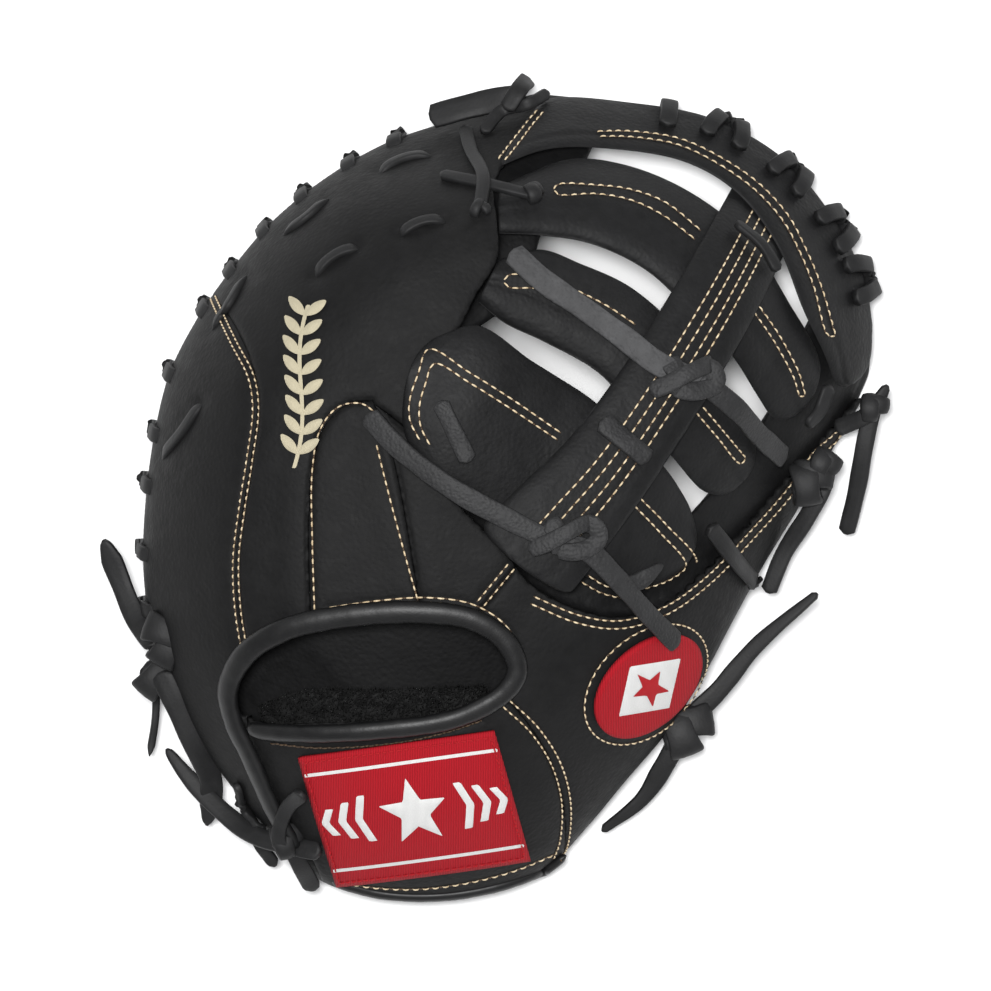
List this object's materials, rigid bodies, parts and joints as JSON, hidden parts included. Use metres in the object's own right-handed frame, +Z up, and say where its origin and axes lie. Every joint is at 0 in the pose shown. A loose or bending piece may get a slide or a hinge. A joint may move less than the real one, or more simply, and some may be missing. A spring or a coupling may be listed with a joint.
{
  "type": "first baseman's mitt",
  "caption": "Black leather first base mitt for the left hand, palm down, with a barred web, rolled wrist opening, whip lacing and knotted lace tails.",
  "frame": {"origin": "middle of the object's box, on the floor that the mitt lies on", "axes": "+Z up out of the back of the hand, +Y towards the fingertips, +X towards the thumb and the web"},
  "size_m": [0.2906, 0.3016, 0.1205],
  "materials": {
    "leather": "matte",
    "lace": "matte",
    "patch": "woven",
    "pile": "pile"
  },
  "bodies": {
    "root": {"outer_panel": "leather", "finger_panel": "leather", "index_tongue": "leather", "hand_panel": "leather", "thumb_panel": "leather", "wrist_strap": "leather", "palm": "leather", "web_bar_top": "leather", "web_bar_middle": "leather", "web_bar_lower": "leather", "web_post": "leather", "web_band": "leather", "strap_pile": "pile", "wrist_binding": "leather", "strap_binding": "leather", "label_patch": "patch", "oval_patch": "patch", "lace_web_upper": "lace", "lace_web_lower": "lace", "lace_post_low": "lace", "lace_post_high": "lace", "lace_hood": "lace", "lace_thumb_edge": "lace", "knot_fingertip": "lace", "lace_fingertip_cross": "lace", "knot_little_finger": "lace", "knot_strap": "lace", "knot_thumb_tip": "lace", "knot_thumb_side": "lace", "knot_thumb_heel": "lace", "pad_stitch_1": "lace", "pad_stitch_2": "lace", "pad_stitch_3": "lace", "pad_stitch_4": "lace", "pad_stitch_5": "lace", "pad_stitch_6": "lace", "rim_loop_1": "lace", "rim_loop_2": "lace", "rim_loop_3": "lace", "rim_loop_4": "lace", "rim_loop_5": "lace", "rim_loop_6": "lace", "rim_loop_7": "lace", "rim_loop_8": "lace", "rim_loop_9": "lace", "rim_loop_10": "lace", "rim_loop_11": "lace", "band_loop_1": "lace", "band_loop_2": "lace", "band_loop_3": "lace", "band_loop_4": "lace", "band_loop_5": "lace", "band_loop_6": "lace", "band_loop_7": "lace", "band_loop_8": "lace", "band_loop_9": "lace"}
  },
  "joints": []
}
